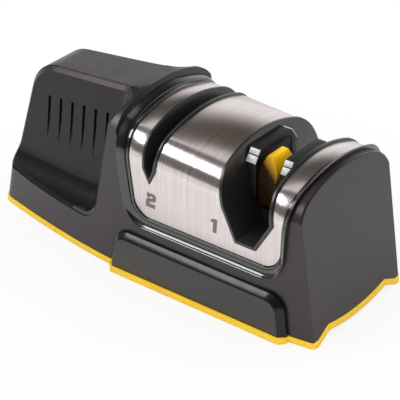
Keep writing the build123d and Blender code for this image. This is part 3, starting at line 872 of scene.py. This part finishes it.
def wound_spring():
    """The guide's return spring, wound from one wire along Y."""
    low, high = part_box("guide_return_spring")
    wire = sizes().spring_wire
    turns = sizes().spring_turns
    start = Vector(((low.x + high.x) / 2, low.y + wire / 2, (low.z + high.z) / 2))
    bpy.ops.object.select_all(action="DESELECT")
    bpy.ops.mesh.primitive_circle_add(vertices=SPRING_WIRE_SIDES, radius=wire / 2, location=start)
    piece = bpy.context.object
    piece.name = "coiled_return_spring"
    with editing(piece):
        bpy.ops.transform.translate(value=((high.x - low.x - wire) / 2, 0.0, 0.0))
    apply_modifier(
        piece,
        "SCREW",
        axis="Y",
        screw_offset=(high.y - low.y - wire) / turns,
        iterations=turns,
        steps=SPRING_TURN_STEPS,
        render_steps=SPRING_TURN_STEPS,
        use_smooth_shade=True,
    )
    bpy.ops.object.transform_apply(location=True, rotation=False, scale=False)
    with editing(piece):
        bpy.ops.mesh.fill_holes(sides=0)
    face_outwards(piece)
    return piece


class OBJECT_OT_sharpener_guide(bpy.types.Operator):
    """Rounds and colours the rocking blade guide, and winds its return spring"""

    bl_idname = "object.sharpener_guide"
    bl_label = "Blade guide"

    def execute(self, context):
        yellow = guide_plastic()
        piece = rounded("blade_guide", "rocking_guide", sizes().guide_edge, GUIDE_ANGLE, yellow, segments=3)
        settle(piece, "guide", "guide_yellow", "blade_guide")
        spring = wound_spring()
        dress(spring, plain_steel())
        settle(spring, "root", "pin_steel", "guide_return_spring")
        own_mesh(spring)
        return {"FINISHED"}


# Base and plates

class OBJECT_OT_sharpener_base(bpy.types.Operator):
    """Finishes the base tray, its feet and its screws"""

    bl_idname = "object.sharpener_base"
    bl_label = "Base"

    def execute(self, context):
        edge = sizes().plastic_edge
        piece = rounded("base_tray", "yellow_tray", edge, PLASTIC_ANGLE, tray_plastic())
        settle(piece, "root", "tray_yellow", "base_tray")
        rubber = soft_rubber()
        for end in ("front", "rear"):
            for side in ("left", "right"):
                corner = end + "_" + side
                foot = rounded(corner + "_foot", corner + "_pad", edge, PLASTIC_ANGLE, rubber)
                settle(foot, "root", "foot_rubber", corner + "_foot")
        steel = plain_steel()
        for node in ("housing_screws", "cartridge_screws", "hone_screws"):
            dress(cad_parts[node], steel)
        return {"FINISHED"}


# Least share of its normal that the matt face of a plate has along Y
PLATE_FACE_SHARE = 0.99


class OBJECT_OT_sharpener_nameplates(bpy.types.Operator):
    """Finishes the bare plates: a matt face inside a glossy chamfer"""

    bl_idname = "object.sharpener_nameplates"
    bl_label = "Nameplates"

    def execute(self, context):
        finishes = (plate_gloss(), plate_plastic())
        for end in ("front", "rear"):
            node = end + "_nameplate"
            piece = rounded(node, end + "_plate", sizes().plastic_edge, PLATE_ANGLE, *finishes)
            for face in piece.data.polygons:
                face.material_index = int(abs(face.normal.y) > PLATE_FACE_SHARE)
            settle(piece, "root", "nameplate_black", node)
        return {"FINISHED"}


# Studio

# Distances from the middle between which the floor fades, and its shares of plain white there
FLOOR_FADE_SHARES = (0.09, 0.15, 0.84, 1.0)


def floor_finish():
    """White floor that keeps the object's shadow and fades into the white background."""
    material = bpy.data.materials.new("studio_floor")
    material.use_nodes = True
    tree = material.node_tree
    shader = tree.nodes["Principled BSDF"]
    shader.inputs["Base Color"].default_value = (*colours().floor, 1.0)
    shader.inputs["Roughness"].default_value = 0.9
    shader.inputs["Specular IOR Level"].default_value = 0.0
    glow = tree.nodes.new("ShaderNodeEmission")
    path = tree.nodes.new("ShaderNodeLightPath")
    place = tree.nodes.new("ShaderNodeTexCoord")
    distance = tree.nodes.new("ShaderNodeVectorMath")
    distance.operation = "LENGTH"
    fade = tree.nodes.new("ShaderNodeMapRange")
    for key, value in zip(("From Min", "From Max", "To Min", "To Max"), FLOOR_FADE_SHARES):
        fade.inputs[key].default_value = value
    part = tree.nodes.new("ShaderNodeMath")
    part.operation = "MULTIPLY"
    mix = tree.nodes.new("ShaderNodeMixShader")
    links = tree.links
    links.new(place.outputs["Object"], distance.inputs[0])
    links.new(distance.outputs["Value"], fade.inputs["Value"])
    links.new(path.outputs["Is Camera Ray"], part.inputs[0])
    links.new(fade.outputs["Result"], part.inputs[1])
    links.new(part.outputs["Value"], mix.inputs["Fac"])
    links.new(shader.outputs["BSDF"], mix.inputs[1])
    links.new(glow.outputs["Emission"], mix.inputs[2])
    links.new(mix.outputs["Shader"], tree.nodes["Material Output"].inputs["Surface"])
    return material


# The room that the pieces mirror on its left and on its right: degrees up from the front horizon and over to
# the back, with the room's light there
ROOM_LEFT_STOPS = (
    (-30.0, (0.88, 0.88, 0.88)),
    (8.0, (0.88, 0.88, 0.88)),
    (13.0, (0.16, 0.156, 0.15)),
    (40.0, (0.16, 0.158, 0.155)),
    (50.0, (0.45, 0.45, 0.46)),
    (68.0, (0.45, 0.45, 0.46)),
    (77.0, (0.20, 0.195, 0.19)),
    (91.0, (0.16, 0.156, 0.15)),
    (100.0, (0.80, 0.79, 0.77)),
    (105.0, (0.80, 0.79, 0.77)),
    (110.0, (0.13, 0.118, 0.10)),
    (130.0, (0.075, 0.066, 0.054)),
    (138.0, (0.16, 0.148, 0.135)),
    (146.0, (0.46, 0.45, 0.43)),
    (155.0, (0.92, 0.92, 0.92)),
    (180.0, (0.98, 0.98, 0.98)),
)
ROOM_RIGHT_STOPS = (
    (-30.0, (0.88, 0.88, 0.88)),
    (8.0, (0.80, 0.80, 0.80)),
    (14.0, (0.05, 0.05, 0.055)),
    (136.0, (0.05, 0.05, 0.055)),
    (150.0, (0.50, 0.50, 0.50)),
    (160.0, (0.92, 0.92, 0.92)),
    (180.0, (0.98, 0.98, 0.98)),
)
# The room's left side turns into its right side between these shares of the way to the right
ROOM_TURN_SHARES = (-0.10, 0.30)
# Places of a colour mix node's sockets: its factor, the two colours that it mixes and the result
MIX_FACTOR = 0
MIX_FIRST = 6
MIX_SECOND = 7
MIX_RESULT = 2


def room_ramp(tree, angle, stops):
    """Light of one side of the room by its angle up from the front horizon."""
    lowest = stops[0][0]
    highest = stops[-1][0]
    span = tree.nodes.new("ShaderNodeMapRange")
    span.inputs["From Min"].default_value = math.radians(lowest)
    span.inputs["From Max"].default_value = math.radians(highest)
    ramp = tree.nodes.new("ShaderNodeValToRGB")
    elements = ramp.color_ramp.elements
    elements.remove(elements[1])
    for degrees, colour in stops:
        place_share = (degrees - lowest) / (highest - lowest)
        element = elements.new(place_share) if place_share > 0 else elements[0]
        element.color = (*colour, 1.0)
    tree.links.new(angle, span.inputs["Value"])
    tree.links.new(span.outputs["Result"], ramp.inputs["Fac"])
    return ramp.outputs["Color"]


def studio_world():
    """White round the camera, and for reflections a room with bright strips, darker on its right."""
    world = bpy.data.worlds.new("studio_world")
    world.use_nodes = True
    bpy.context.scene.world = world
    tree = world.node_tree
    room = tree.nodes["Background"]
    white = tree.nodes.new("ShaderNodeBackground")
    white.inputs["Color"].default_value = (1.0, 1.0, 1.0, 1.0)
    path = tree.nodes.new("ShaderNodeLightPath")
    mix = tree.nodes.new("ShaderNodeMixShader")
    place = tree.nodes.new("ShaderNodeTexCoord")
    split = tree.nodes.new("ShaderNodeSeparateXYZ")
    turn = tree.nodes.new("ShaderNodeMath")
    turn.operation = "ARCTAN2"
    flip = tree.nodes.new("ShaderNodeMath")
    flip.operation = "MULTIPLY"
    flip.inputs[1].default_value = -1.0
    first_share, last_share = ROOM_TURN_SHARES
    side = tree.nodes.new("ShaderNodeMapRange")
    side.inputs["From Min"].default_value = first_share
    side.inputs["From Max"].default_value = last_share
    blend = tree.nodes.new("ShaderNodeMix")
    blend.data_type = "RGBA"
    angle = turn.outputs["Value"]
    links = tree.links
    links.new(place.outputs["Generated"], split.inputs["Vector"])
    links.new(split.outputs["Y"], flip.inputs[0])
    links.new(split.outputs["Z"], turn.inputs[0])
    links.new(flip.outputs["Value"], turn.inputs[1])
    links.new(split.outputs["X"], side.inputs["Value"])
    links.new(side.outputs["Result"], blend.inputs[MIX_FACTOR])
    links.new(room_ramp(tree, angle, ROOM_LEFT_STOPS), blend.inputs[MIX_FIRST])
    links.new(room_ramp(tree, angle, ROOM_RIGHT_STOPS), blend.inputs[MIX_SECOND])
    links.new(blend.outputs[MIX_RESULT], room.inputs["Color"])
    links.new(path.outputs["Is Camera Ray"], mix.inputs["Fac"])
    links.new(room.outputs["Background"], mix.inputs[1])
    links.new(white.outputs["Background"], mix.inputs[2])
    links.new(mix.outputs["Shader"], tree.nodes["World Output"].inputs["Surface"])


# Point that the rectangular lamps are turned to
LAMP_AIM = Vector((0.0, 0.0, 0.04))


def hang_lamp(name, lamp, way, mirrored):
    """Puts a lamp into the studio, turned along a way, and says whether glossy pieces mirror it."""
    holder = bpy.data.objects.new(name, lamp)
    holder.rotation_euler = way.to_track_quat("-Z", "Y").to_euler()
    holder.visible_glossy = mirrored
    bpy.context.scene.collection.objects.link(holder)
    return holder


def soft_light(name, place, width, height, power, mirrored):
    """A large rectangular studio lamp."""
    lamp = bpy.data.lights.new(name, "AREA")
    lamp.shape = "RECTANGLE"
    lamp.size = width
    lamp.size_y = height
    lamp.energy = power
    hang_lamp(name, lamp, LAMP_AIM - Vector(place), mirrored).location = place


def soft_sun(name, place, degrees, strength):
    """Even light from a wide part of the sky."""
    lamp = bpy.data.lights.new(name, "SUN")
    lamp.angle = math.radians(degrees)
    lamp.energy = strength
    hang_lamp(name, lamp, -Vector(place), mirrored=False)


def studio_lamps():
    """Even light from above, soft lamps in front and on the right, and a left one that the steel mirrors."""
    soft_sun("overhead_light", place=(0.05, 0.12, 0.95), degrees=80.0, strength=1.7)
    soft_light("front_light", (0.30, -1.0, 0.35), width=0.8, height=0.5, power=3.0, mirrored=False)
    soft_light("right_light", (1.0, -0.15, 0.40), width=0.6, height=0.5, power=2.6, mirrored=False)
    soft_light("left_light", (-0.50, -0.45, 0.75), width=0.50, height=0.30, power=2.8, mirrored=True)


def studio_camera():
    """Camera at the photograph's viewing angle."""
    values = studio()
    data = bpy.data.cameras.new("studio_camera")
    data.lens = values.lens
    holder = bpy.data.objects.new("studio_camera", data)
    bpy.context.scene.collection.objects.link(holder)
    flat = math.cos(values.elevation)
    back = Vector((
        math.sin(values.azimuth) * flat,
        -math.cos(values.azimuth) * flat,
        math.sin(values.elevation),
    ))
    look = (-back).to_track_quat("-Z", "Y").to_matrix().to_4x4()
    turn = Matrix.Rotation(values.roll, 4, "Z")
    place = Matrix.Translation(Vector(values.target) + back * values.distance)
    holder.matrix_world = place @ look @ turn
    bpy.context.scene.camera = holder


class OBJECT_OT_sharpener_stage(bpy.types.Operator):
    """Sets up the pale floor, the soft light and the camera"""

    bl_idname = "object.sharpener_stage"
    bl_label = "Stage"

    def execute(self, context):
        context.scene.view_settings.view_transform = "Standard"
        bpy.ops.object.select_all(action="DESELECT")
        side = studio().floor_size
        bpy.ops.mesh.primitive_plane_add(size=side, location=(0.0, side / 2 - studio().floor_front, 0.0))
        bpy.ops.object.transform_apply(location=True, rotation=False, scale=False)
        floor = context.object
        floor.name = "studio_floor"
        dress(floor, floor_finish())
        studio_lamps()
        studio_world()
        studio_camera()
        return {"FINISHED"}


class VIEW3D_PT_sharpener(bpy.types.Panel):
    """Lists the sharpener's pieces in the order that they are made"""

    bl_label = "Knife sharpener"
    bl_space_type = "VIEW_3D"
    bl_region_type = "UI"
    bl_category = "Sharpener"

    def draw(self, context):
        for operator in OPERATORS:
            self.layout.operator(operator.bl_idname)
        for group in (sizes(), colours(), studio()):
            column = self.layout.column()
            for key in group.__annotations__:
                column.prop(group, key)


OPERATORS = (
    OBJECT_OT_sharpener_housing,
    OBJECT_OT_sharpener_cover,
    OBJECT_OT_sharpener_bezel,
    OBJECT_OT_sharpener_slots,
    OBJECT_OT_sharpener_cartridge,
    OBJECT_OT_sharpener_guide,
    OBJECT_OT_sharpener_base,
    OBJECT_OT_sharpener_nameplates,
    OBJECT_OT_sharpener_stage,
)
CLASSES = (SharpenerSizes, SharpenerColours, SharpenerStudio, *OPERATORS, VIEW3D_PT_sharpener)


def register():
    """Adds the classes and the scene's values."""
    for item in CLASSES:
        bpy.utils.register_class(item)
    bpy.types.Scene.sharpener_sizes = PointerProperty(type=SharpenerSizes)
    bpy.types.Scene.sharpener_colours = PointerProperty(type=SharpenerColours)
    bpy.types.Scene.sharpener_studio = PointerProperty(type=SharpenerStudio)


def unregister():
    """Takes the scene's values and the classes away again."""
    del bpy.types.Scene.sharpener_studio
    del bpy.types.Scene.sharpener_colours
    del bpy.types.Scene.sharpener_sizes
    for item in reversed(CLASSES):
        bpy.utils.unregister_class(item)


def main():
    """Makes every piece in order."""
    register()
    bpy.ops.object.sharpener_housing()
    bpy.ops.object.sharpener_cover()
    bpy.ops.object.sharpener_bezel()
    bpy.ops.object.sharpener_slots()
    bpy.ops.object.sharpener_cartridge()
    bpy.ops.object.sharpener_guide()
    bpy.ops.object.sharpener_base()
    bpy.ops.object.sharpener_nameplates()
    bpy.ops.object.sharpener_stage()


if __name__ == "__main__":
    main()
